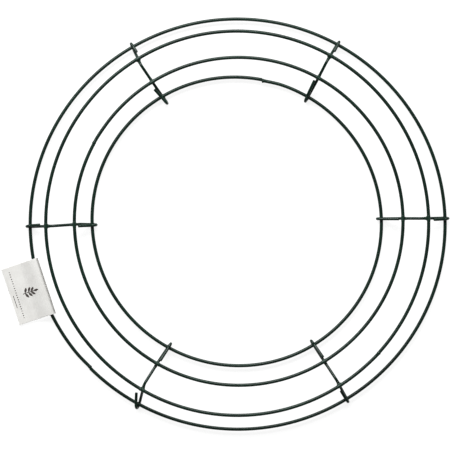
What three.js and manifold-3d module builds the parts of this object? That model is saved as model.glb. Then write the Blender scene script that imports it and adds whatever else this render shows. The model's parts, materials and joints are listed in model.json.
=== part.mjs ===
// A wire wreath frame: four round rings held in a shallow dome by six bent cross wires, and a card tag.
// Millimetres. The frame lies on its back with its front towards +Z, and rests on the hooks at Z = 0.
import * as THREE from "three";
import { mergeVertices } from "three/addons/utils/BufferGeometryUtils.js";
import Module from "manifold-3d";

const wasm = await Module();
wasm.setup();

// Wires and clearance
const RING_WIRE = 2.5; // diameter of the four rings' wire
const CROSS_WIRE = 2.1; // diameter of the six cross wires
const GAP = 0.3; // left between pieces that touch on the real frame

// Rings, from the outside in
const OUTER_DIAMETER = 304.8; // over the outer ring's wire
const OUTER_SPACING = 11.5; // outer ring to outer middle ring, wire centre to wire centre
const MIDDLE_SPACING = 20; // outer middle ring to inner middle ring
const INNER_SPACING = 13.8; // inner middle ring to inner ring

// Dome of the cross wires, above their low runs under the outer and inner rings
const CREST_RISE = 15; // at the highest bend
const CREST_INSET = 4.5; // the highest bend lies this far inside the outer middle ring
const SHOULDER_RISE = 7.5; // at the lower bend
const SHOULDER_INSET = 4; // the lower bend lies this far inside the inner middle ring
const BEND_RADIUS = 4; // of both bends, at the wire's centre

// Spot welds between the cross wires and the two middle rings
const WELD_SPREAD = 1.2; // past the ring's wire, on both sides and along it
const WELD_HEIGHT = 0.6; // above the middle of the ring's wire
const WELD_FACE = 0.75; // radius of its flat faces, of its whole radius
const WELD_RIM = 0.3; // height of its upright rim, of its whole height

// Folded card tag round the outer ring
const TAG_ANGLE = 197.8; // where the tag sits on the outer ring, degrees
const TAG_LENGTH = 43; // along its fold
const TAG_WIDTH = 28; // from its fold to its free edge
const TAG_CARD = 0.35; // thickness of one leaf
const TAG_CLEARANCE = 0.35; // between the card and the wire it turns round
const TAG_FOLD_SLACK = 1.4; // spare length of the loop on the side of the fold
const TAG_TAPER = 2.8; // length of the loop's closing side over its half height
const TAG_LIFT = 0.1; // the free edge's height above the surface it lies on

// Facets
const SIDES = 8; // of every wire
const RING_STEPS = 90; // round a ring
const HOOK_STEPS = 8; // round the half turn of a hook
const CREST_STEPS = 3; // round the highest bend
const SHOULDER_STEPS = 2; // round the lower bend
const LOOP_STEPS = 5; // round the tag's fold

const FRONT = new THREE.Vector3(0, 0, 1);
const radians = THREE.MathUtils.degToRad;

// A faceted wire is as thick as the real one across its flats, so its corners stand out by this factor.
const CORNER = 1 / Math.cos(Math.PI / SIDES);

// The centres of two crossing wires lie this far apart.
const CROSSING = (RING_WIRE + CROSS_WIRE) / 2 + GAP;

const coating = new THREE.MeshStandardMaterial({ color: 0x16281f, roughness: 0.42, metalness: 0.35 });
const weldCoating = new THREE.MeshStandardMaterial({ color: 0x1d3328, roughness: 0.5, metalness: 0.3 });
const card = new THREE.MeshStandardMaterial({ color: 0xdcdbd7, roughness: 0.8, metalness: 0 });

// The slope of a cross wire that comes down from a bend and passes under a ring.
function slopeUnder(run, rise) {
  const height = rise - CROSSING;
  return Math.atan2(height, run) + Math.asin(CROSSING / Math.hypot(run, height));
}

// Side view of the dome: distances in from the outer ring, heights of the cross wires' centres, slopes.
const lowHeight = CROSS_WIRE / 2;
const crestIn = OUTER_SPACING + CREST_INSET;
const crestHeight = lowHeight + CREST_RISE;
const shoulderIn = OUTER_SPACING + MIDDLE_SPACING + SHOULDER_INSET;
const shoulderHeight = lowHeight + SHOULDER_RISE;
const outerSlope = slopeUnder(crestIn, CREST_RISE);
const topSlope = Math.atan2(crestHeight - shoulderHeight, shoulderIn - crestIn);

// Each ring is a little oval and a little off centre, as hand-loaded welded rings are.
const lowRing = lowHeight + CROSSING;
const outerRadius = (OUTER_DIAMETER - RING_WIRE) / 2;
const outerMiddleRadius = outerRadius - OUTER_SPACING;
const innerMiddleRadius = outerMiddleRadius - MIDDLE_SPACING;
const rings = {
  outer: {
    name: "outer_ring",
    radius: outerRadius,
    height: lowRing,
    centre: new THREE.Vector2(0, 0),
    oval: 0.88,
    ovalAngle: -6,
  },
  outerMiddle: {
    name: "outer_middle_ring",
    radius: outerMiddleRadius,
    height: crestHeight - CREST_INSET * Math.tan(outerSlope) + CROSSING / Math.cos(outerSlope),
    centre: new THREE.Vector2(-0.37, 0.63),
    oval: 0.27,
    ovalAngle: 102,
  },
  innerMiddle: {
    name: "inner_middle_ring",
    radius: innerMiddleRadius,
    height: shoulderHeight + SHOULDER_INSET * Math.tan(topSlope) + CROSSING / Math.cos(topSlope),
    centre: new THREE.Vector2(0.72, 2.02),
    oval: 0.15,
    ovalAngle: -7,
  },
  inner: {
    name: "inner_ring",
    radius: innerMiddleRadius - INNER_SPACING,
    height: lowRing,
    centre: new THREE.Vector2(-0.66, 2),
    oval: 0.84,
    ovalAngle: 140,
  },
};

// The six cross wires. "at" is where each crosses the four rings, in degrees round each ring's centre.
// "lean" moves the crest sideways. A hook's slack is its length past a tight turn, its tail stops short
// of the next ring by "stop", and "side" is how far the tail's end lies to one side of the wire.
const crossWires = [
  {
    name: "right",
    at: [1.7, 1.75, 1.05, 1.1],
    lean: -0.6,
    outerHook: { slack: 0, stop: 4.5, side: -1.5 },
    innerHook: { slack: 0.7, stop: 2.9, side: -0.4 },
  },
  {
    name: "upper_right",
    at: [61, 61.1, 60.9, 60.2],
    lean: 0,
    outerHook: { slack: 0, stop: 4.7, side: -1 },
    innerHook: { slack: 1.4, stop: 2.8, side: 1.7 },
  },
  {
    name: "upper_left",
    at: [120.7, 121, 121.8, 120.7],
    lean: 0.8,
    outerHook: { slack: 0.3, stop: 5.3, side: -1.1 },
    innerHook: { slack: 3.8, stop: 5.2, side: 1.8 },
  },
  {
    name: "left",
    at: [180.7, 181, 180.9, 181.2],
    lean: 0,
    outerHook: { slack: 0.2, stop: 4.9, side: -1.3 },
    innerHook: { slack: 0.7, stop: 2.8, side: 1.5 },
  },
  {
    name: "lower_left",
    at: [241.3, 240.8, 240.1, 241.4],
    lean: -1.7,
    outerHook: { slack: 0.7, stop: 3.7, side: -4.6 },
    innerHook: { slack: 1, stop: 3.1, side: 0.8 },
  },
  {
    name: "lower_right",
    at: [302, 302.4, 301.4, 301.9],
    lean: 0,
    outerHook: { slack: 0, stop: 4.3, side: -1.2 },
    innerHook: { slack: 1.1, stop: 2.9, side: 0.9 },
  },
];

// A point on the centre line of a ring's wire.
function ringPoint(ring, degrees) {
  const angle = radians(degrees);
  const radius = ring.radius + ring.oval * Math.cos(2 * (angle - radians(ring.ovalAngle)));
  const x = ring.centre.x + radius * Math.cos(angle);
  const y = ring.centre.y + radius * Math.sin(angle);
  return new THREE.Vector3(x, y, ring.height);
}

// The corners of a wire's section, with a flat on each side, above and below.
function sectionCorners(diameter) {
  const radius = (diameter / 2) * CORNER;
  return Array.from({ length: SIDES }, (_, i) => {
    const angle = ((i + 0.5) * 2 * Math.PI) / SIDES;
    return new THREE.Vector2(radius * Math.cos(angle), radius * Math.sin(angle));
  });
}

// A ring's corners stand outside its true radius by as much as its flats stand inside it.
function makeRing(ring) {
  const toCorner = new THREE.Vector2((2 * ring.radius) / (1 + Math.cos(Math.PI / RING_STEPS)), 0);
  const profile = sectionCorners(RING_WIRE).map((corner) => corner.add(toCorner));
  profile.push(profile[0].clone());
  const geometry = new THREE.LatheGeometry(profile, RING_STEPS);
  geometry.rotateX(Math.PI / 2);
  geometry.scale(1 + ring.oval / ring.radius, 1 - ring.oval / ring.radius, 1);
  const mesh = new THREE.Mesh(geometry, coating);
  mesh.name = ring.name;
  mesh.rotation.z = radians(ring.ovalAngle);
  mesh.position.set(ring.centre.x, ring.centre.y, ring.height);
  return mesh;
}

// A route of straight stretches that keeps a section's flats level and mitres it at every corner.
// The directions across the wire are one for each point.
class MitredPath extends THREE.Curve {
  constructor(points, across) {
    super();
    this.points = points;
    this.across = across;
  }

  getSpacedPoints() {
    return this.points;
  }

  computeFrenetFrames() {
    const frames = { tangents: [], normals: [], binormals: [] };
    const last = this.points.length - 1;
    this.points.forEach((point, i) => {
      const start = Math.max(i - 1, 0);
      const end = Math.min(i, last - 1);
      const before = this.points[start + 1].clone().sub(this.points[start]).normalize();
      const after = this.points[end + 1].clone().sub(this.points[end]).normalize();
      const tangent = before.clone().add(after).normalize();
      const across = this.across[i];
      const level = across.clone().addScaledVector(tangent, -across.dot(tangent)).normalize();
      const upright = tangent.clone().cross(level);
      const stretched = after.clone().sub(before).normalize();
      const stretch = 1 / before.dot(tangent) - 1;
      frames.tangents.push(tangent);
      frames.normals.push(level.addScaledVector(stretched, stretch * level.dot(stretched)));
      frames.binormals.push(upright.addScaledVector(stretched, stretch * upright.dot(stretched)));
    });
    return frames;
  }
}

// Replaces a corner by straight stretches drawn round the outside of an arc of a given radius.
function roundedCorner(before, corner, after, radius, steps) {
  const into = corner.clone().sub(before).normalize();
  const outOf = after.clone().sub(corner).normalize();
  const turn = into.angleTo(outOf);
  const reach = radius * Math.tan(turn / 2);
  const start = corner.clone().addScaledVector(into, -reach);
  const inward = outOf.clone().sub(into).normalize();
  const centre = corner.clone().addScaledVector(inward, radius / Math.cos(turn / 2));
  const arm = start.sub(centre);
  const axis = into.clone().cross(outOf).normalize();
  const outside = 1 / Math.cos(turn / steps / 2);
  return Array.from({ length: steps }, (_, i) => {
    const angle = ((i + 0.5) * turn) / steps;
    return arm.clone().applyAxisAngle(axis, angle).multiplyScalar(outside).add(centre);
  });
}

// The hook at one end of a cross wire, from the wire's slope, under and round the ring, to the tail's
// end. The tail is pressed down on the wire: its end is as near to it as the two thicknesses allow.
function hookPoints(ringCentre, outward, across, slope, hook, behind) {
  const place = (along, height, side) =>
    ringCentre.clone().addScaledVector(outward, along).addScaledVector(across, side).setZ(height);
  const middle = ringCentre.z;
  const points = [];
  const lowRadius = CROSSING / Math.cos(slope / 4);
  for (const share of [0.75, 0.25]) {
    const angle = share * slope;
    points.push(place(-lowRadius * Math.sin(angle), middle - lowRadius * Math.cos(angle), 0));
  }
  const step = Math.PI / HOOK_STEPS;
  const turnRadius = CROSSING / Math.cos(step / 2);
  for (let i = 0; i < HOOK_STEPS; i++) {
    const angle = (i + 0.5) * step;
    const along = hook.slack + turnRadius * Math.sin(angle);
    const sideways = (hook.side * i) / (2 * HOOK_STEPS);
    points.push(place(along, middle - turnRadius * Math.cos(angle), sideways));
  }
  points.push(place(0, middle + CROSSING, hook.side / 2));
  const toBend = flatDistance(ringCentre, behind.bend) - behind.tail;
  const wireHeight = behind.bend.z - toBend * Math.tan(toBend > 0 ? slope : behind.slopePastBend);
  const apart = CROSS_WIRE * CORNER + GAP;
  const above = Math.sqrt(Math.max(apart ** 2 - hook.side ** 2, 0)) / Math.cos(slope);
  points.push(place(-behind.tail, wireHeight + above, hook.side));
  return points;
}

function flatDistance(from, to) {
  return Math.hypot(to.x - from.x, to.y - from.y);
}

function flatDirection(from, to) {
  return to.clone().sub(from).setZ(0).normalize();
}

// Where one cross wire runs: its two hooks, and the points of its dome between them.
// Its slopes follow the distances between the rings at its own angle.
function crossWireRoute(wire) {
  const outer = ringPoint(rings.outer, wire.at[0]);
  const outerMiddle = ringPoint(rings.outerMiddle, wire.at[1]);
  const innerMiddle = ringPoint(rings.innerMiddle, wire.at[2]);
  const inner = ringPoint(rings.inner, wire.at[3]);
  const acrossDome = FRONT.clone().cross(flatDirection(inner, outer));
  const crest = outerMiddle
    .clone()
    .lerp(innerMiddle, CREST_INSET / MIDDLE_SPACING)
    .addScaledVector(acrossDome, wire.lean)
    .setZ(crestHeight);
  const shoulder = innerMiddle
    .clone()
    .lerp(inner, SHOULDER_INSET / INNER_SPACING)
    .setZ(shoulderHeight);
  const rise = slopeUnder(flatDistance(outer, crest), CREST_RISE);
  const fall = Math.atan2(crestHeight - shoulderHeight, flatDistance(crest, shoulder));
  const lowerFall = slopeUnder(flatDistance(shoulder, inner), SHOULDER_RISE);
  const under = (ring, slope) => ring.clone().setZ(ring.z - CROSSING / Math.cos(slope));
  const underOuterMiddle = under(outerMiddle, rise);
  const underInnerMiddle = under(innerMiddle, fall);
  const outward = flatDirection(outerMiddle, outer);
  const acrossOuter = FRONT.clone().cross(outward);
  const outerEnd = hookPoints(outer, outward, acrossOuter, rise, wire.outerHook, {
    tail: flatDistance(outer, outerMiddle) - wire.outerHook.stop,
    bend: crest,
    slopePastBend: 0,
  });
  const inward = flatDirection(innerMiddle, inner);
  const acrossInner = inward.clone().cross(FRONT);
  const innerEnd = hookPoints(inner, inward, acrossInner, lowerFall, wire.innerHook, {
    tail: flatDistance(innerMiddle, inner) - wire.innerHook.stop,
    bend: shoulder,
    slopePastBend: fall,
  });
  const across = { outer: acrossOuter, dome: acrossDome, inner: acrossInner };
  return { outerEnd, innerEnd, across, crest, shoulder, underOuterMiddle, underInnerMiddle };
}

function makeCrossWire(wire) {
  const { outerEnd, innerEnd, across, ...way } = crossWireRoute(wire);
  const crestBend = [way.underOuterMiddle, way.crest, way.underInnerMiddle];
  const shoulderBend = [way.underInnerMiddle, way.shoulder, innerEnd[0]];
  const dome = [
    way.underOuterMiddle,
    ...roundedCorner(...crestBend, BEND_RADIUS, CREST_STEPS),
    way.underInnerMiddle,
    ...roundedCorner(...shoulderBend, BEND_RADIUS, SHOULDER_STEPS),
  ];
  const points = [...outerEnd.toReversed(), ...dome, ...innerEnd];
  const acrosses = [
    ...outerEnd.map(() => across.outer),
    ...dome.map(() => across.dome),
    ...innerEnd.map(() => across.inner),
  ];
  const geometry = new THREE.ExtrudeGeometry(new THREE.Shape(sectionCorners(CROSS_WIRE)), {
    steps: points.length - 1,
    extrudePath: new MitredPath(points, acrosses),
  });
  const mesh = new THREE.Mesh(geometry, coating);
  mesh.name = "cross_wire_" + wire.name;
  return mesh;
}

function solid(geometry) {
  const bare = geometry.clone();
  bare.deleteAttribute("normal");
  bare.deleteAttribute("uv");
  const merged = mergeVertices(bare);
  const vertProperties = new Float32Array(merged.attributes.position.array);
  const triVerts = new Uint32Array(merged.index.array);
  return new wasm.Manifold(new wasm.Mesh({ numProp: 3, vertProperties, triVerts }));
}

function geometryOf(manifold) {
  const made = manifold.getMesh();
  const geometry = new THREE.BufferGeometry();
  geometry.setAttribute("position", new THREE.BufferAttribute(made.vertProperties, 3));
  geometry.setIndex(new THREE.BufferAttribute(made.triVerts, 1));
  geometry.computeVertexNormals();
  return geometry;
}

// Turns a shape so that its Y axis lies along one direction, and its X axis as near as can be to another.
function turned(geometry, yAxis, towardsX) {
  const zAxis = towardsX.clone().cross(yAxis).normalize();
  const xAxis = yAxis.clone().cross(zAxis);
  return geometry.applyMatrix4(new THREE.Matrix4().makeBasis(xAxis, yAxis, zAxis));
}

// A weld: the metal squeezed out round a ring where a cross wire passes under it.
// The wire's directions are the two in which it leaves the crossing. It comes nearest to the ring on
// its rising side, a little to one side of the crossing if it isn't square to the ring.
function makeWeld(name, ring, degrees, onCrossWire, directions) {
  const onRing = ringPoint(ring, degrees);
  const angle = radians(degrees);
  const round = new THREE.Vector3(-Math.sin(angle), Math.cos(angle), 0);
  const along = directions[0].clone().sub(directions[1]).normalize();
  const up = along.cross(round).normalize();
  const rising = directions[0].z > directions[1].z ? directions[0] : directions[1];
  const skew = rising.dot(round);
  const aside = (skew * rising.z * onRing.distanceTo(onCrossWire)) / (1 - skew ** 2);
  const nearest = onRing.clone().addScaledVector(round, aside);
  const centre = nearest.addScaledVector(up, -(RING_WIRE + GAP) / 2);
  const radius = RING_WIRE / 2 + GAP + WELD_SPREAD;
  const halfHeight = (RING_WIRE + GAP) / 2 + WELD_HEIGHT;
  const outline = [
    new THREE.Vector2(0, -halfHeight),
    new THREE.Vector2(WELD_FACE * radius, -halfHeight),
    new THREE.Vector2(radius, -WELD_RIM * halfHeight),
    new THREE.Vector2(radius, WELD_RIM * halfHeight),
    new THREE.Vector2(WELD_FACE * radius, halfHeight),
    new THREE.Vector2(0, halfHeight),
  ];
  const wireSpace = (point, direction, upright, diameter) => {
    const space = (diameter / 2) * CORNER + GAP;
    const length = 2 * halfHeight + 2 * radius;
    const cylinder = new THREE.CylinderGeometry(space, space, length, SIDES);
    cylinder.rotateY(Math.PI / SIDES).translate(0, length / 2 - space, 0);
    return solid(turned(cylinder, direction, upright).translate(...point));
  };
  const cut = solid(turned(new THREE.LatheGeometry(outline, SIDES), up, round).translate(...centre))
    .subtract(wireSpace(onRing, round, FRONT, RING_WIRE))
    .subtract(wireSpace(onRing, round.clone().negate(), FRONT, RING_WIRE))
    .subtract(wireSpace(onCrossWire, directions[0], up, CROSS_WIRE))
    .subtract(wireSpace(onCrossWire, directions[1], up, CROSS_WIRE));
  const mesh = new THREE.Mesh(geometryOf(cut), weldCoating);
  mesh.name = name;
  return mesh;
}

function makeWelds(wire) {
  const { outerEnd, crest, shoulder, underOuterMiddle, underInnerMiddle } = crossWireRoute(wire);
  const towards = (from, ...ends) => ends.map((end) => end.clone().sub(from).normalize());
  const outerWays = towards(underOuterMiddle, outerEnd[0], crest);
  const innerWays = towards(underInnerMiddle, crest, shoulder);
  return [
    makeWeld("weld_outer_" + wire.name, rings.outerMiddle, wire.at[1], underOuterMiddle, outerWays),
    makeWeld("weld_inner_" + wire.name, rings.innerMiddle, wire.at[2], underInnerMiddle, innerWays),
  ];
}

// The card tag: a loop round the outer ring whose two leaves are glued together into one flap.
// It turns about a line midway between the ring's arc and chord, and its hollow is tall enough for the
// ring's curve to pass at every angle of the flap.
function makeTag() {
  const reach = THREE.MathUtils.radToDeg(TAG_LENGTH / 2 / rings.outer.radius);
  const start = ringPoint(rings.outer, TAG_ANGLE - reach);
  const end = ringPoint(rings.outer, TAG_ANGLE + reach);
  const onRing = ringPoint(rings.outer, TAG_ANGLE);
  const onChord = start.clone().lerp(end, 0.5);
  const hinge = onRing.clone().lerp(onChord, 0.5);
  const along = start.clone().sub(end).normalize();
  const outward = FRONT.clone().cross(along);
  const bow = onRing.distanceTo(onChord);
  const halfHeight = (RING_WIRE / 2) * CORNER + bow / 2 + TAG_CLEARANCE;
  const foldReach = halfHeight + TAG_FOLD_SLACK;
  const join = halfHeight * TAG_TAPER;
  const edge = TAG_WIDTH - foldReach - TAG_CARD;

  const roundFold = [Math.PI / 2, 1.5 * Math.PI];
  const outline = new THREE.Shape();
  outline.absellipse(0, 0, foldReach + TAG_CARD, halfHeight + TAG_CARD, ...roundFold);
  outline.lineTo(join, -TAG_CARD);
  outline.lineTo(edge, -TAG_CARD);
  outline.lineTo(edge, TAG_CARD);
  outline.lineTo(join, TAG_CARD);
  const hollow = new THREE.Path();
  hollow.absellipse(0, 0, foldReach, halfHeight, ...roundFold);
  hollow.lineTo(join, 0);
  outline.holes.push(hollow);

  const geometry = new THREE.ExtrudeGeometry(outline, {
    depth: TAG_LENGTH,
    bevelEnabled: false,
    curveSegments: LOOP_STEPS,
  });
  geometry.translate(0, 0, -TAG_LENGTH / 2);
  const droop = Math.asin((hinge.z - TAG_CARD - TAG_LIFT) / edge);
  geometry.rotateZ(-droop);
  const mesh = new THREE.Mesh(geometry, card);
  mesh.name = "hang_tag";
  mesh.quaternion.setFromRotationMatrix(new THREE.Matrix4().makeBasis(outward, FRONT, along));
  mesh.position.copy(hinge);
  return mesh;
}

const frame = new THREE.Group();
Object.values(rings).forEach((ring) => frame.add(makeRing(ring)));
crossWires.forEach((wire) => frame.add(makeCrossWire(wire), ...makeWelds(wire)));
frame.add(makeTag());

// The origin is under the middle of the whole object, on the surface that it lies on.
const box = new THREE.Box3().setFromObject(frame, true);
const middle = box.getCenter(new THREE.Vector3());
frame.position.set(-middle.x, -middle.y, -box.min.z);

const wreathFrame = new THREE.Group();
wreathFrame.add(frame);

export default wreathFrame;
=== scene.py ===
import json
import math

import bmesh
import bpy
from mathutils import Matrix, Vector
from mathutils.geometry import intersect_line_line


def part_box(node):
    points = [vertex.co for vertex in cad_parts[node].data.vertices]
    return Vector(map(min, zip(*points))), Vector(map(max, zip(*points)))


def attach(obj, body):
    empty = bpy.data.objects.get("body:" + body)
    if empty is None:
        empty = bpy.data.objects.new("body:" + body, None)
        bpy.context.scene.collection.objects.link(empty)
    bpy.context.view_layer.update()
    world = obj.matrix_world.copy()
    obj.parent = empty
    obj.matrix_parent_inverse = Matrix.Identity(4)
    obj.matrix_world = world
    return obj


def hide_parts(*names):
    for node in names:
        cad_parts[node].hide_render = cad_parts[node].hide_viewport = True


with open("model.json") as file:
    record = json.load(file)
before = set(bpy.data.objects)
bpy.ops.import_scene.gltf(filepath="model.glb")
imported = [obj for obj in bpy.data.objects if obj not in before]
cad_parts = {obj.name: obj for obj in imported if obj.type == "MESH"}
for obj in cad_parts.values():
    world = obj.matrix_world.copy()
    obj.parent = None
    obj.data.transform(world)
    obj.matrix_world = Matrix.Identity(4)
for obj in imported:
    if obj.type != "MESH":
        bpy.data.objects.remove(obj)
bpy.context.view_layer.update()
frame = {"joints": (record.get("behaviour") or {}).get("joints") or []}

# ---- The four rings ----
# Each ring is one length of drawn steel wire, coiled to size, cut and butt-welded end to end, then
# powder-coated dark green with the rest of the frame. The joint leaves a small step and a collar of
# flash. No ring is quite round or quite in line with the others, because they are loaded by hand.
MM = 0.001
WIRE_SIDES = 24
RING_STEPS = 320
SMOOTH_ANGLE = math.radians(40)  # flatter edges than this are shaded smooth
JOINT_LENGTH = 1.9 * MM
COLLAR = 1.13  # the flash's diameter over the wire's
COLLAR_SHAPE = ((0.3, COLLAR), (0.3, 1), (0.25, 1 / COLLAR))  # shares of the joint, and swell in each
COLLAR_EASE = 14 * MM  # how far from the joint the wire's end starts to stand off
PIP_REACH = 1.1 * MM  # how far round the flash's tip the surface is drawn out with it

# Each ring's oval, where its joint is, how far the end stands off there, and how far its flash does
RINGS = {
    "outer_ring": {
        "oval": 0.88 * MM, "oval_angle": -6, "joint": 224.8, "step": -0.45 * MM, "pip": 0,
    },
    "outer_middle_ring": {
        "oval": 0.27 * MM, "oval_angle": 102, "joint": 318, "step": 0.15 * MM, "pip": 0,
    },
    "inner_middle_ring": {
        "oval": 0.15 * MM, "oval_angle": -7, "joint": 152, "step": 0.15 * MM, "pip": 0,
    },
    "inner_ring": {
        "oval": 0.84 * MM, "oval_angle": 140, "joint": 79.5, "step": -0.5 * MM, "pip": 0.3 * MM,
    },
}
for ring_name, ring in RINGS.items():
    low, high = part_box(ring_name)
    ring["wire"] = high.z - low.z
    ring["centre"] = (low + high) / 2
    ring["radius"] = (high.x - low.x + high.y - low.y) / 4 - ring["wire"] / 2

up = Vector((0, 0, 1))


def polar(radius, angle):
    return Vector((radius * math.cos(angle), radius * math.sin(angle), 0))


def start_section(centre, heading, diameter):
    """The round section that a wire is drawn out from, left selected in edit mode."""
    bpy.ops.object.select_all(action="DESELECT")
    facing = heading.to_track_quat("Z", "Y").to_euler()
    bpy.ops.mesh.primitive_circle_add(
        vertices=WIRE_SIDES, radius=diameter / 2, location=centre, rotation=facing
    )
    bpy.ops.object.transform_apply(location=True, rotation=True, scale=True)
    bpy.ops.object.mode_set(mode="EDIT")
    bpy.ops.mesh.select_mode(type="EDGE")
    bpy.ops.mesh.select_all(action="SELECT")


def extrude(offset):
    bpy.ops.mesh.extrude_region_move(TRANSFORM_OT_translate={"value": offset})


def turn_section(centre, axis, angle, steps):
    """Draws the selected section round a centre, anticlockwise about the axis."""
    bpy.ops.mesh.spin(steps=steps, angle=angle, center=centre, axis=-axis)


def select_open_edges():
    bpy.ops.mesh.select_all(action="DESELECT")
    bpy.ops.mesh.select_mode(type="EDGE")
    bpy.ops.mesh.select_non_manifold()


def close_edit(merge=0.001 * MM):
    """Merges doubled points, faces everything outwards and leaves edit mode."""
    bpy.ops.mesh.select_all(action="SELECT")
    bpy.ops.mesh.remove_doubles(threshold=merge)
    bpy.ops.mesh.normals_make_consistent(inside=False)
    bpy.ops.object.mode_set(mode="OBJECT")


def make_ring(ring):
    """The ring is drawn round the origin with its long axis along X, then put in its place."""
    start = math.radians(ring["joint"] - ring["oval_angle"])
    joint = JOINT_LENGTH / ring["radius"]
    start_section(polar(ring["radius"], start), polar(1, start + math.pi / 2), ring["wire"])
    turn_section(Vector(), up, 2 * math.pi - joint, RING_STEPS)
    end = polar(ring["radius"], start - joint)
    bpy.ops.transform.translate(
        value=polar(ring["step"], start - joint),
        use_proportional_edit=True,
        use_proportional_connected=True,
        proportional_edit_falloff="SMOOTH",
        proportional_size=COLLAR_EASE,
    )
    across_joint = polar(ring["radius"], start) - end
    flash = end + polar(ring["step"], start - joint)
    for share, swell in COLLAR_SHAPE:
        extrude(across_joint * share)
        flash += across_joint * share
        bpy.ops.transform.resize(value=(swell, swell, swell), center_override=flash)
    select_open_edges()
    bpy.ops.mesh.bridge_edge_loops()
    if ring["pip"]:
        tip = polar(ring["radius"] - ring["wire"] * COLLAR / 2, start - joint / 2)
        bpy.ops.mesh.select_all(action="DESELECT")
        mesh = bmesh.from_edit_mesh(bpy.context.object.data)
        nearest = min(mesh.verts, key=lambda vert: (vert.co - tip).length)
        nearest.select_set(True)
        bmesh.update_edit_mesh(bpy.context.object.data)
        bpy.ops.transform.translate(
            value=polar(-ring["pip"], start),
            use_proportional_edit=True,
            proportional_edit_falloff="SHARP",
            proportional_size=PIP_REACH,
        )
    close_edit()
    piece = bpy.context.object
    stretch = ring["oval"] / ring["radius"]
    piece.scale = (1 + stretch, 1 - stretch, 1)
    piece.rotation_euler.z = math.radians(ring["oval_angle"])
    piece.location = ring["centre"]
    bpy.ops.object.transform_apply(location=True, rotation=True, scale=True)
    bpy.ops.object.shade_smooth_by_angle(angle=SMOOTH_ANGLE)
    return piece


class Signal:
    """One output of a material's nodes, used in sums as a number is."""

    def __init__(self, tree, socket=None):
        self.tree = tree
        self.socket = socket

    def node(self, kind, settings, inputs, output=None):
        """Adds a node: its settings first, then the values or links of its sockets."""
        made = self.tree.nodes.new(kind)
        for name, value in settings.items():
            setattr(made, name, value)
        for socket in made.inputs:
            value = inputs.get(socket.identifier)
            if isinstance(value, Signal):
                self.tree.links.new(value.socket, socket)
            elif value is not None:
                socket.default_value = value
        found = [s for s in made.outputs if output in (None, s.identifier)]
        return Signal(self.tree, found[0])

    def math(self, operation, first, second=0.0):
        values = {"Value": first, "Value_001": second}
        return self.node("ShaderNodeMath", {"operation": operation}, values)

    def between(self, low, high):
        """0 where the value is at low, 1 where it is at high, and smooth between."""
        settings = {"interpolation_type": "SMOOTHSTEP"}
        inputs = {"Value": self, "From Min": low, "From Max": high}
        return self.node("ShaderNodeMapRange", settings, inputs, "Result")

    def noise(self, place, scale, detail=2.0, roughness=0.5):
        inputs = {"Vector": place, "Scale": scale, "Detail": detail, "Roughness": roughness}
        return self.node("ShaderNodeTexNoise", {}, inputs, "Fac")

    def mix(self, colour_a, colour_b):
        """Colour A where the value is 0, and colour B where it is 1."""
        inputs = {"Factor_Float": self, "A_Color": colour_a, "B_Color": colour_b}
        return self.node("ShaderNodeMix", {"data_type": "RGBA"}, inputs, "Result_Color")

    def __add__(self, other):
        return self.math("ADD", self, other)

    def __sub__(self, other):
        return self.math("SUBTRACT", self, other)

    def __rsub__(self, other):
        return self.math("SUBTRACT", other, self)

    def __mul__(self, other):
        return self.math("MULTIPLY", self, other)

    __radd__ = __add__
    __rmul__ = __mul__


def new_material(name):
    """A material with an output and nothing else, and the Signal that its nodes are added with."""
    material = bpy.data.materials.new(name)
    material.use_nodes = True
    material.node_tree.nodes.clear()
    return material, Signal(material.node_tree)


def show(shader):
    output = shader.tree.nodes.new("ShaderNodeOutputMaterial")
    shader.tree.links.new(shader.socket, output.inputs["Surface"])


GREEN_DEEP = (0.0035, 0.019, 0.0115, 1)
GREEN_THIN = (0.007, 0.034, 0.021, 1)
GREEN_SCUFF = (0.045, 0.085, 0.065, 1)
# How many patches there are to a metre
DRIFT = 38
CLOUDS = 420
SKIN = 1500
GRIT = 5200
RUBS = 260
CRATERS = 700
SCUFF_STRENGTH = 0.55


def powder_coat(name, deep, thin, peel, lumps, gloss):
    """Dark green powder coat: uneven in depth, with orange peel, a few craters and light scuffs."""
    material, start = new_material(name)
    place = start.node("ShaderNodeTexCoord", {}, {}, "Object")
    drift = start.noise(place, DRIFT, 3)
    cloud = start.noise(place, CLOUDS, 4, 0.6)
    skin = start.noise(place, SKIN, 2, 0.45)
    grit = start.noise(place, GRIT, 2, 0.6)
    rub = start.noise(place, RUBS, 5, 0.7)
    depth = (drift * 0.6 + cloud * 0.4).between(0.34, 0.66)
    scuff = rub.between(0.66, 0.74) * grit.between(0.42, 0.62)
    crater = start.node(
        "ShaderNodeTexVoronoi", {"feature": "F1"}, {"Vector": place, "Scale": CRATERS}, "Distance"
    )
    pit = 1 - crater.between(0.05, 0.14)
    colour = (scuff * SCUFF_STRENGTH).mix(depth.mix(deep, thin), GREEN_SCUFF)
    roughness = gloss + cloud * 0.16 + scuff * 0.22
    height = skin * peel + cloud * lumps + grit * (0.12 * peel) - pit * (0.8 * peel)
    bump = start.node(
        "ShaderNodeBump", {}, {"Strength": 1.0, "Distance": 1.0, "Height": height}, "Normal"
    )
    shader = start.node(
        "ShaderNodeBsdfPrincipled",
        {},
        {
            "Base Color": colour,
            "Roughness": roughness,
            "Normal": bump,
            "Metallic": 0.0,
            "Specular IOR Level": 0.42,
            "Coat Weight": 0.12,
            "Coat Roughness": 0.3,
        },
        "BSDF",
    )
    show(shader)
    return material


def fit(piece, name, body, material, node):
    """Names a finished piece, gives it its finish and lets it stand for its CAD node."""
    piece.name = name
    piece.data.name = name
    piece.data.materials.clear()
    piece.data.materials.append(material)
    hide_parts(node)
    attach(piece, body)


ring_coat = powder_coat("ring_powder_coat", GREEN_DEEP, GREEN_THIN, 0.02 * MM, 0.03 * MM, 0.3)
for ring_name, ring in RINGS.items():
    fit(make_ring(ring), ring_name + "_wire", "frame", ring_coat, ring_name)

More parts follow.
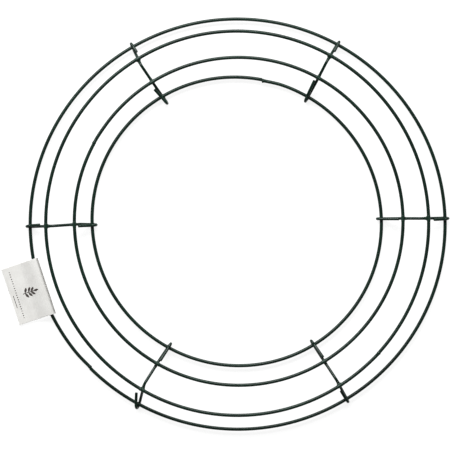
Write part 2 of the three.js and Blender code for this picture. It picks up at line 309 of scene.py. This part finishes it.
# ---- The six cross wires ----
# Each is one thinner steel wire, bent over a jig into a low dome that carries the rings. It is hooked
# round the outer and the inner ring from below, and its cut tails are pressed down on it from above.
# The coating runs into the corner between each hook and its ring.
CREST_RISE = 15 * MM
CREST_INSET = 4.5 * MM
SHOULDER_RISE = 7.5 * MM
SHOULDER_INSET = 4 * MM
DOME_BEND = 4 * MM
TAIL_BEND = 1.6 * MM
BEND_STEP = math.radians(8)
CUT_BEVEL = 0.12 * MM
BEAD = Vector((1.35, 1.5, 0.75)) * MM  # along the ring, along the wire, and upright

CROSS_WIRES = {
    "right": {
        "at": (1.7, 1.75, 1.05, 1.1), "lean": -0.6 * MM,
        "outer": (0, 4.5 * MM, -1.5 * MM), "inner": (0.7 * MM, 2.9 * MM, -0.4 * MM),
    },
    "upper_right": {
        "at": (61, 61.1, 60.9, 60.2), "lean": 0,
        "outer": (0, 4.7 * MM, -1 * MM), "inner": (1.4 * MM, 2.8 * MM, 1.7 * MM),
    },
    "upper_left": {
        "at": (120.7, 121, 121.8, 120.7), "lean": 0.8 * MM,
        "outer": (0.3 * MM, 5.3 * MM, -1.1 * MM), "inner": (3.8 * MM, 5.2 * MM, 1.8 * MM),
    },
    "left": {
        "at": (180.7, 181, 180.9, 181.2), "lean": 0,
        "outer": (0.2 * MM, 4.9 * MM, -1.3 * MM), "inner": (0.7 * MM, 2.8 * MM, 1.5 * MM),
    },
    "lower_left": {
        "at": (241.3, 240.8, 240.1, 241.4), "lean": -1.7 * MM,
        "outer": (0.7 * MM, 3.7 * MM, -4.6 * MM), "inner": (1 * MM, 3.1 * MM, 0.8 * MM),
    },
    "lower_right": {
        "at": (302, 302.4, 301.4, 301.9), "lean": 0,
        "outer": (0, 4.3 * MM, -1.2 * MM), "inner": (1.1 * MM, 2.9 * MM, 0.9 * MM),
    },
}
outer, outer_middle, inner_middle, _ = RINGS.values()
CROSS_WIRE = 2.1 * MM
RING_WIRE = outer["wire"]
run_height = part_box("cross_wire_right")[0].z + CROSS_WIRE / 2
HUG = (RING_WIRE + CROSS_WIRE) / 2  # a wire pulled tight over a ring
UNDER = outer["centre"].z - run_height  # a ring over the low run that it rests on


def ring_point(ring, degrees):
    angle = math.radians(degrees)
    swell = ring["oval"] * math.cos(2 * (angle - math.radians(ring["oval_angle"])))
    return ring["centre"] + polar(ring["radius"] + swell, angle)


def level(vector):
    return Vector((vector.x, vector.y, 0))


def at_height(point, height):
    return Vector((point.x, point.y, height))


def slope_under(run, rise):
    height = rise - UNDER
    return math.atan2(height, run) + math.asin(UNDER / math.hypot(run, height))


def hook_corners(on_ring, outward, across, slope, hook, tail, wire_height):
    """From the tail's cut end over and round the ring to the start of the wire's rise under it."""
    slack, _, side = hook
    middle = on_ring.z

    def place(along, height, sideways):
        return at_height(on_ring + outward * along + across * sideways, height)

    above = math.sqrt(max(CROSS_WIRE**2 - side**2, 0)) / math.cos(slope)
    return [
        (place(-tail, wire_height + above, side), 0),
        (place(0, middle + HUG, side / 2), TAIL_BEND),
        (place(slack + HUG, middle + HUG, side / 4), HUG),
        (place(slack + HUG, run_height, 0), HUG),
        (place(-UNDER * math.tan(slope / 2), run_height, 0), UNDER),
    ]


def cross_wire_route(wire):
    """The corners that the wire turns, each with its bend's radius, and its two welded crossings."""
    on_outer, on_outer_middle, on_inner_middle, on_inner = (
        ring_point(ring, degrees) for ring, degrees in zip(RINGS.values(), wire["at"])
    )
    inwards = level(on_inner - on_outer).normalized()
    across = inwards.cross(Vector((0, 0, 1)))
    middle_gap = level(on_inner_middle - on_outer_middle)
    crest = on_outer_middle + middle_gap.normalized() * CREST_INSET + across * wire["lean"]
    crest = at_height(crest, run_height + CREST_RISE)
    inner_gap = level(on_inner - on_inner_middle)
    shoulder = on_inner_middle + inner_gap.normalized() * SHOULDER_INSET
    shoulder = at_height(shoulder, run_height + SHOULDER_RISE)

    rise = slope_under(level(crest - on_outer).length, CREST_RISE)
    fall = math.atan2(crest.z - shoulder.z, level(crest - shoulder).length)
    lower_fall = slope_under(level(shoulder - on_inner).length, SHOULDER_RISE)

    outward = level(on_outer - on_outer_middle).normalized()
    tail = level(on_outer - on_outer_middle).length - wire["outer"][1]
    to_crest = level(on_outer - crest).length - tail
    height = crest.z - to_crest * math.tan(rise)
    outer_turn = hook_corners(on_outer, outward, up.cross(outward), rise, wire["outer"], tail, height)

    tail = inner_gap.length - wire["inner"][1]
    to_shoulder = level(on_inner - shoulder).length - tail
    height = shoulder.z - to_shoulder * math.tan(lower_fall if to_shoulder > 0 else fall)
    inner_turn = hook_corners(
        on_inner, inner_gap.normalized(), inner_gap.normalized().cross(up),
        lower_fall, wire["inner"], tail, height,
    )
    dome = [(crest, DOME_BEND), (shoulder, DOME_BEND)]
    crossings = [
        (outer_middle, on_outer_middle, outer_turn[-1][0], crest),
        (inner_middle, on_inner_middle, crest, shoulder),
    ]
    return outer_turn + dome + inner_turn[::-1], crossings


def bend_wire(corners):
    """Draws a wire from its first point to its last, a straight run and then a bend at each corner."""
    here = corners[0][0]
    heading = (corners[1][0] - here).normalized()
    start_section(here, heading, CROSS_WIRE)
    for (corner, radius), (beyond, _) in zip(corners[1:-1], corners[2:]):
        onward = (beyond - corner).normalized()
        angle = heading.angle(onward)
        trim = radius * math.tan(angle / 2)
        bend_start = corner - heading * trim
        extrude(bend_start - here)
        axis = heading.cross(onward).normalized()
        steps = math.ceil(angle / BEND_STEP)
        turn_section(bend_start + axis.cross(heading) * radius, axis, angle, steps)
        here = corner + onward * trim
        heading = onward
    extrude(corners[-1][0] - here)
    select_open_edges()
    bpy.ops.mesh.fill_holes(sides=WIRE_SIDES)
    bpy.ops.mesh.select_mode(type="FACE")
    bpy.ops.mesh.select_all(action="DESELECT")
    mesh = bmesh.from_edit_mesh(bpy.context.object.data)
    for face in mesh.faces:
        face.select_set(len(face.verts) == WIRE_SIDES)
    bmesh.update_edit_mesh(bpy.context.object.data)
    bpy.ops.mesh.bevel(offset=CUT_BEVEL, segments=2, affect="EDGES")
    close_edit()
    return bpy.context.object


def apply_modifier(piece, kind, **settings):
    """Adds a modifier with these settings to the piece and applies it."""
    bpy.context.view_layer.objects.active = piece
    bpy.ops.object.modifier_add(type=kind)
    modifier = piece.modifiers[-1]
    for name, value in settings.items():
        setattr(modifier, name, value)
    bpy.ops.object.modifier_apply(modifier=modifier.name)


def add_bead(centre, along_ring, along_wire, size):
    """A lens of coating or metal in the corner between two wires."""
    upright = along_ring.cross(along_wire).normalized()
    turn = Matrix((along_ring, upright.cross(along_ring), upright)).transposed()
    bpy.ops.object.select_all(action="DESELECT")
    bpy.ops.mesh.primitive_uv_sphere_add(segments=24, ring_count=14, radius=1)
    bead = bpy.context.object
    bead.matrix_world = Matrix.Translation(centre) @ turn.to_4x4() @ Matrix.Diagonal((*size, 1))
    bpy.ops.object.transform_apply(location=True, rotation=True, scale=True)
    return bead


def coat_into_hooks(piece, corners):
    """Joins a bead of coating to the wire where each hook's low run passes under its ring."""
    for under, hook_end in ((corners[4][0], corners[3][0]), (corners[-5][0], corners[-4][0])):
        outward = level(hook_end - under).normalized()
        foot = min(level(hook_end - under).length - UNDER, HUG)
        centre = at_height(under + outward * foot, run_height + CROSS_WIRE / 2)
        bead = add_bead(centre, up.cross(outward), outward, BEAD)
        apply_modifier(piece, "BOOLEAN", object=bead, operation="UNION", solver="MANIFOLD")
        bpy.data.objects.remove(bead)


cross_coat = powder_coat(
    "cross_wire_powder_coat", GREEN_DEEP, GREEN_THIN, 0.025 * MM, 0.05 * MM, 0.27
)
for wire_name, wire in CROSS_WIRES.items():
    corners, wire["crossings"] = cross_wire_route(wire)
    cross_wire = bend_wire(corners)
    coat_into_hooks(cross_wire, corners)
    bpy.context.view_layer.objects.active = cross_wire
    cross_wire.select_set(True)
    bpy.ops.object.shade_smooth_by_angle(angle=SMOOTH_ANGLE)
    node = "cross_wire_" + wire_name
    fit(cross_wire, node + "_bent", "frame", cross_coat, node)

# ---- The twelve spot welds ----
# Each is the metal squeezed out where a cross wire is resistance-welded under a middle ring, with the
# coating run over both wires beside it. It is a low uneven lump, wider than the ring on both sides.
NUGGET = Vector((1.95, 1.4, 1.4)) * MM  # along the ring, along the wire, and upright
NUGGET_PLACE = 0.46  # of the way from the ring's middle to the wire's
SLEEVE_THICKNESS = 0.14 * MM  # of the coating built up on both wires
SLEEVE_HALF = 1.6 * MM
SLEEVE_END = 1.3 * MM
SLEEVE_TAPER = 0.82
WELD_VOXEL = 0.13 * MM
WELD_LUMPS = 0.18 * MM
WELD_LUMP_SIZE = 1.3 * MM

weld_texture = bpy.data.textures.new("weld_lumps", "CLOUDS")
weld_texture.noise_scale = WELD_LUMP_SIZE


def add_sleeve(centre, direction, diameter):
    """The coating built up round a wire, which thins out and meets the wire at both ends."""
    facing = direction.to_track_quat("Z", "Y").to_euler()
    bpy.ops.object.select_all(action="DESELECT")
    bpy.ops.mesh.primitive_cylinder_add(
        vertices=WIRE_SIDES, radius=diameter / 2 + SLEEVE_THICKNESS, depth=2 * SLEEVE_HALF,
        location=centre, rotation=facing,
    )
    bpy.ops.object.transform_apply(location=True, rotation=True, scale=True)
    bpy.ops.object.mode_set(mode="EDIT")
    for way in (direction, -direction):
        bpy.ops.mesh.select_mode(type="FACE")
        bpy.ops.mesh.select_all(action="DESELECT")
        mesh = bmesh.from_edit_mesh(bpy.context.object.data)
        for face in mesh.faces:
            face.select_set(len(face.verts) == WIRE_SIDES and face.normal.dot(way) > 0.9)
        bmesh.update_edit_mesh(bpy.context.object.data)
        extrude(way * SLEEVE_END)
        bpy.ops.transform.resize(
            value=(SLEEVE_TAPER, SLEEVE_TAPER, SLEEVE_TAPER),
            center_override=centre + way * (SLEEVE_HALF + SLEEVE_END),
        )
    bpy.ops.object.mode_set(mode="OBJECT")
    return bpy.context.object


def make_weld(ring, on_ring, wire_from, wire_to):
    """The lump and its coating, where the wire and the ring come nearest to each other."""
    along_ring = up.cross(level(on_ring - ring["centre"])).normalized()
    along_wire = (wire_to - wire_from).normalized()
    near_ring, near_wire = intersect_line_line(on_ring, on_ring + along_ring, wire_from, wire_to)
    metal = add_bead(near_ring.lerp(near_wire, NUGGET_PLACE), along_ring, along_wire, NUGGET)
    parts = [metal, add_sleeve(near_ring, along_ring, RING_WIRE)]
    parts.append(add_sleeve(near_wire, along_wire, CROSS_WIRE))
    for part in parts:
        part.select_set(True)
    bpy.context.view_layer.objects.active = metal
    bpy.ops.object.join()
    apply_modifier(metal, "REMESH", mode="VOXEL", voxel_size=WELD_VOXEL)
    apply_modifier(
        metal, "DISPLACE", texture=weld_texture, texture_coords="GLOBAL",
        strength=WELD_LUMPS, mid_level=0.5,
    )
    apply_modifier(metal, "SMOOTH", factor=0.5, iterations=5)
    bpy.ops.object.shade_smooth()
    return metal


GREEN_OVER_WELD = (0.02, 0.05, 0.035, 1)
weld_coat = powder_coat(
    "weld_powder_coat", GREEN_THIN, GREEN_OVER_WELD, 0.03 * MM, 0.07 * MM, 0.3
)
for wire_name, wire in CROSS_WIRES.items():
    for place_name, crossing in zip(("outer", "inner"), wire["crossings"]):
        node = "weld_" + place_name + "_" + wire_name
        fit(make_weld(*crossing), node + "_nugget", "frame", weld_coat, node)

# ---- The hang tag ----
# One strip of uncoated card, printed in dark brown, folded round the outer ring and glued to itself,
# so that it can swing. It has curled a little, and its rounded fold is painted darker as shade.
TAG_LENGTH = 43 * MM
TAG_WIDTH = 28.3 * MM
CARD = 0.32 * MM
FOLD_REACH = 3.75 * MM
FOLD_HALF_HEIGHT = 2.45 * MM
JOIN = 11 * MM  # the leaves meet this far out from the ring
TAG_LIFT = 0.15 * MM
PROFILE_STEPS = 400
ACROSS_STEPS = 150
ALONG_STEPS = 64
CURL = 1.3 * MM
CURL_MIDDLE = 0.25  # shares of the curl: in the middle of the free edge, and more at its corners
UPPER_CORNER = 0.75
LOWER_CORNER = 0.45
RIPPLE = 0.28 * MM
CARD_EDGE = 0.06 * MM

tag_joint = next(j for j in frame["joints"] if j["name"] == "tag_swing")
hinge = Vector(tag_joint["pos_m"])
along = Vector(tag_joint["axis"]).normalized()
away = up.cross(along).normalized()
tag_edge = TAG_WIDTH - FOLD_REACH - CARD


def leaf_profile():
    """Side view of the upper leaf, from the fold's middle to its free edge, out and up from the ring."""
    half = FOLD_HALF_HEIGHT + CARD / 2
    round_fold = [math.pi * (1 - i / 2 / PROFILE_STEPS) for i in range(PROFILE_STEPS)]
    points = [((FOLD_REACH + CARD / 2) * math.cos(a), half * math.sin(a)) for a in round_fold]
    for i in range(PROFILE_STEPS + 1):
        out = tag_edge * i / PROFILE_STEPS
        share = min(out / JOIN, 1)
        ease = share * share * (3 - 2 * share)
        points.append((out, half + (CARD / 2 - half) * ease))
    return points


def walk(points, distance):
    """The place at a distance along a chain of points."""
    for (x, y), (next_x, next_y) in zip(points, points[1:]):
        step = math.hypot(next_x - x, next_y - y)
        if distance <= step:
            share = distance / step
            return x + (next_x - x) * share, y + (next_y - y) * share
        distance -= step
    return points[-1]


profile = leaf_profile()
LEAF = sum(math.dist(a, b) for a, b in zip(profile, profile[1:]))  # from the fold to the free edge


def card_lift(out, side):
    """How far the glued leaves stand off flat: curled up at the corners and slightly rippled."""
    share = max(out - JOIN, 0) / (tag_edge - JOIN)
    end = side / (TAG_LENGTH / 2)
    corner = UPPER_CORNER if end > 0 else LOWER_CORNER
    curl = CURL * share**2 * (CURL_MIDDLE + corner * end**2)
    ripple = RIPPLE * share * math.sin(4.1 * end + 0.7) * math.cos(2.3 * share - 0.4)
    return curl + ripple + RIPPLE * share


def make_tag():
    """The strip starts flat, as a grid, and each of its rows is then put where the fold takes it."""
    bpy.ops.object.select_all(action="DESELECT")
    bpy.ops.mesh.primitive_grid_add(x_subdivisions=ACROSS_STEPS, y_subdivisions=ALONG_STEPS, size=1)
    card = bpy.context.object
    droop = math.asin((hinge.z - CARD - TAG_LIFT) / tag_edge)
    rows = {}
    for vert in card.data.vertices:
        strip = round(vert.co.x * ACROSS_STEPS)
        if strip not in rows:
            out, height = walk(profile, abs(strip) / (ACROSS_STEPS / 2) * LEAF)
            rows[strip] = (out, math.copysign(height, strip) if strip else 0)
        out, height = rows[strip]
        side = vert.co.y * TAG_LENGTH
        height += card_lift(out, side)
        level_out = out * math.cos(droop) + height * math.sin(droop)
        level_up = height * math.cos(droop) - out * math.sin(droop)
        vert.co = hinge + away * level_out + up * level_up + along * side
    apply_modifier(card, "SOLIDIFY", thickness=CARD, offset=0)
    apply_modifier(
        card, "BEVEL", width=CARD_EDGE, segments=2, limit_method="ANGLE", angle_limit=math.radians(50)
    )
    bpy.ops.object.mode_set(mode="EDIT")
    close_edit()
    bpy.ops.object.shade_smooth_by_angle(angle=SMOOTH_ANGLE)
    return card


CARD_GREY = (0.8, 0.79, 0.765, 1)
CARD_LIGHT = (0.87, 0.865, 0.84, 1)
CARD_WORN = (0.92, 0.915, 0.9, 1)
# Painted shade: the darker grey laid along the rounded fold
CARD_FOLD_SHADE = (0.47, 0.46, 0.44, 1)
CARD_INK = (0.035, 0.022, 0.018, 1)
# How many patches there are to a metre
CARD_FIBRES = 2600
CARD_MOTTLE = 230
CARD_CLOUDS = 45
INK_WOBBLES = 1900
SPRIG_FOOT = 9.6 * MM  # from the free edge
SPRIG_SIDE = -0.7 * MM  # from the tag's middle, along the fold
SPRIG_LEAVES = (  # distance up the stem, out from it, and the angle to it
    (2.6 * MM, 2.0 * MM, 62),
    (5.4 * MM, 1.9 * MM, 52),
    (7.9 * MM, 1.5 * MM, 38),
    (10.6 * MM, 0, 0),
)
LEAF_HALF_LENGTH = 2.1 * MM
LEAF_HALF_WIDTH = 0.85 * MM
STEM_HALF_WIDTH = 0.32 * MM
STEM_LENGTH = 9.4 * MM
INK_EDGE = 0.12 * MM
INK_WOBBLE = 0.5 * MM
DOT_LINE = 4.9 * MM
DOT_PITCH = 1.75 * MM
DOTS_START = 20 * DOT_PITCH
DOT_HALF = 0.5 * MM
DOTS_HALF_LENGTH = 17.6 * MM
RULE_LINE = 2.3 * MM
RULE_HALF_WIDTH = 0.2 * MM
RULE_SIDE = -4.3 * MM
RULE_HALF_LENGTH = 4.7 * MM


def printed(start, up_card, along_card):
    """Where the ink lies: a leaf sprig, a row of small dots and a short rule."""
    stem = up_card - SPRIG_FOOT
    side = start.math("ABSOLUTE", along_card - SPRIG_SIDE)
    inside = start.math("MINIMUM", STEM_HALF_WIDTH - side, STEM_LENGTH / 2 - start.math(
        "ABSOLUTE", stem - STEM_LENGTH / 2))
    for height, out, degrees in SPRIG_LEAVES:
        turn = math.radians(degrees)
        lengthways = (stem - height) * math.cos(turn) + (side - out) * math.sin(turn)
        sideways = start.math("ABSOLUTE", (side - out) * math.cos(turn) - (stem - height) * math.sin(turn))
        share = lengthways * (1 / LEAF_HALF_LENGTH)
        inside = start.math("MAXIMUM", inside, (1 - share * share) * LEAF_HALF_WIDTH - sideways)
    to_dots = start.math("ABSOLUTE", up_card - DOT_LINE)
    in_pitch = start.math("PINGPONG", along_card + DOTS_START, DOT_PITCH / 2)
    dots = DOT_HALF - to_dots - in_pitch
    dots = start.math("MINIMUM", dots, DOTS_HALF_LENGTH - start.math("ABSOLUTE", along_card))
    rule = start.math(
        "MINIMUM",
        RULE_HALF_WIDTH - start.math("ABSOLUTE", up_card - RULE_LINE),
        RULE_HALF_LENGTH - start.math("ABSOLUTE", along_card - RULE_SIDE),
    )
    inside = start.math("MAXIMUM", inside, start.math("MAXIMUM", dots, rule))
    return inside.between(-INK_EDGE, INK_EDGE)


def tag_card():
    """Pale grey uncoated card: fibres, faint mottling, painted shade along the fold, rubbed edges, and
    brown ink.
    """
    material, start = new_material("tag_card")
    place = start.node("ShaderNodeTexCoord", {}, {}, "Object")
    flat = start.node("ShaderNodeUVMap", {}, {}, "UV")
    across = start.node("ShaderNodeSeparateXYZ", {}, {"Vector": flat}, "X")
    lengthways = start.node("ShaderNodeSeparateXYZ", {}, {"Vector": flat}, "Y")
    up_card = (1 - across) * (2 * LEAF)
    along_card = (lengthways - 0.5) * TAG_LENGTH
    fibres = start.noise(place, CARD_FIBRES, 6, 0.7)
    mottle = start.noise(place, CARD_MOTTLE, 4, 0.55)
    cloud = start.noise(place, CARD_CLOUDS, 2)
    wobble = (start.noise(place, INK_WOBBLES, 2) - 0.5) * INK_WOBBLE
    ink = printed(start, up_card + wobble, along_card + wobble) * (0.8 + fibres * 0.25)
    from_fold = start.math("ABSOLUTE", up_card - LEAF)
    from_end = TAG_LENGTH / 2 - start.math("ABSOLUTE", along_card)
    from_edge = start.math("MINIMUM", from_end, start.math("MINIMUM", up_card, 2 * LEAF - up_card))
    worn = (1 - from_edge.between(0, 0.5 * MM)) * mottle.between(0.3, 0.6)
    # Painted shade: the card is darkened in patches along its rounded fold, where it turns away from the
    # light
    fold_shade = (1 - from_fold.between(1.2 * MM, 2.6 * MM)) * mottle.between(0.15, 0.55)
    shade = (mottle * 0.5 + cloud * 0.5).between(0.3, 0.7)
    paper = fold_shade.mix(shade.mix(CARD_GREY, CARD_LIGHT), CARD_FOLD_SHADE)
    colour = ink.mix(worn.mix(paper, CARD_WORN), CARD_INK)
    height = fibres * (0.035 * MM) + mottle * (0.03 * MM) - ink * (0.008 * MM)
    bump = start.node(
        "ShaderNodeBump", {}, {"Strength": 1.0, "Distance": 1.0, "Height": height}, "Normal"
    )
    shader = start.node(
        "ShaderNodeBsdfPrincipled",
        {},
        {
            "Base Color": colour,
            "Roughness": 0.86 - ink * 0.25,
            "Normal": bump,
            "Specular IOR Level": 0.3,
        },
        "BSDF",
    )
    show(shader)
    return material


fit(make_tag(), "folded_card_tag", "tag", tag_card(), "hang_tag")

# ---- The floor, the light and the camera ----
# The frame lies on a plain white surface, under one broad soft light from beyond its top edge and an
# even pale surround, and is seen from straight above.
FLOOR_SIZE = 6
FLOOR_GREY = (0.24, 0.24, 0.24, 1)
FLOOR_GLOW = 0.88
SURROUND = 0.12
VIEW_GAMMA = 0.87  # keeps the weight of thin dark wires
KEY_PLACE = (-0.25, 1.15, 1.15)
KEY_WIDTH = 1.8
KEY_HEIGHT = 0.9
KEY_WATTS = 43
SENSOR_WIDTH = 36
LENS = 196.5
NEAREST_SEEN = 0.05
VIEW_DISTANCE = 1.8
VIEW_OFFSET = Vector((-9.26, -0.64, VIEW_DISTANCE / MM)) * MM  # from the outer ring's centre

bpy.ops.object.select_all(action="DESELECT")
bpy.ops.mesh.primitive_plane_add(size=FLOOR_SIZE, location=(0, 0, 0))
floor = bpy.context.object
floor.name = "floor"
floor_material, start = new_material("white_floor")
show(start.node(
    "ShaderNodeBsdfPrincipled",
    {},
    {
        "Base Color": FLOOR_GREY,
        "Roughness": 0.9,
        "Specular IOR Level": 0.1,
        "Emission Color": (1, 1, 1, 1),
        "Emission Strength": FLOOR_GLOW,
    },
    "BSDF",
))
floor.data.materials.append(floor_material)

bpy.context.scene.view_settings.view_transform = "Standard"
bpy.context.scene.view_settings.gamma = VIEW_GAMMA
world = bpy.data.worlds.new("pale_surround")
world.use_nodes = True
world.node_tree.nodes["Background"].inputs["Color"].default_value = (1, 1, 1, 1)
world.node_tree.nodes["Background"].inputs["Strength"].default_value = SURROUND
bpy.context.scene.world = world

bpy.ops.object.light_add(type="AREA", location=KEY_PLACE)
key = bpy.context.object
key.data.shape = "RECTANGLE"
key.data.size = KEY_WIDTH
key.data.size_y = KEY_HEIGHT
key.data.energy = KEY_WATTS
key.rotation_euler = (-key.location).to_track_quat("-Z", "Y").to_euler()

bpy.ops.object.camera_add(location=outer["centre"] + VIEW_OFFSET, rotation=(0, 0, 0))
camera = bpy.context.object
camera.data.sensor_width = SENSOR_WIDTH
camera.data.lens = LENS
camera.data.clip_start = NEAREST_SEEN
bpy.context.scene.camera = camera
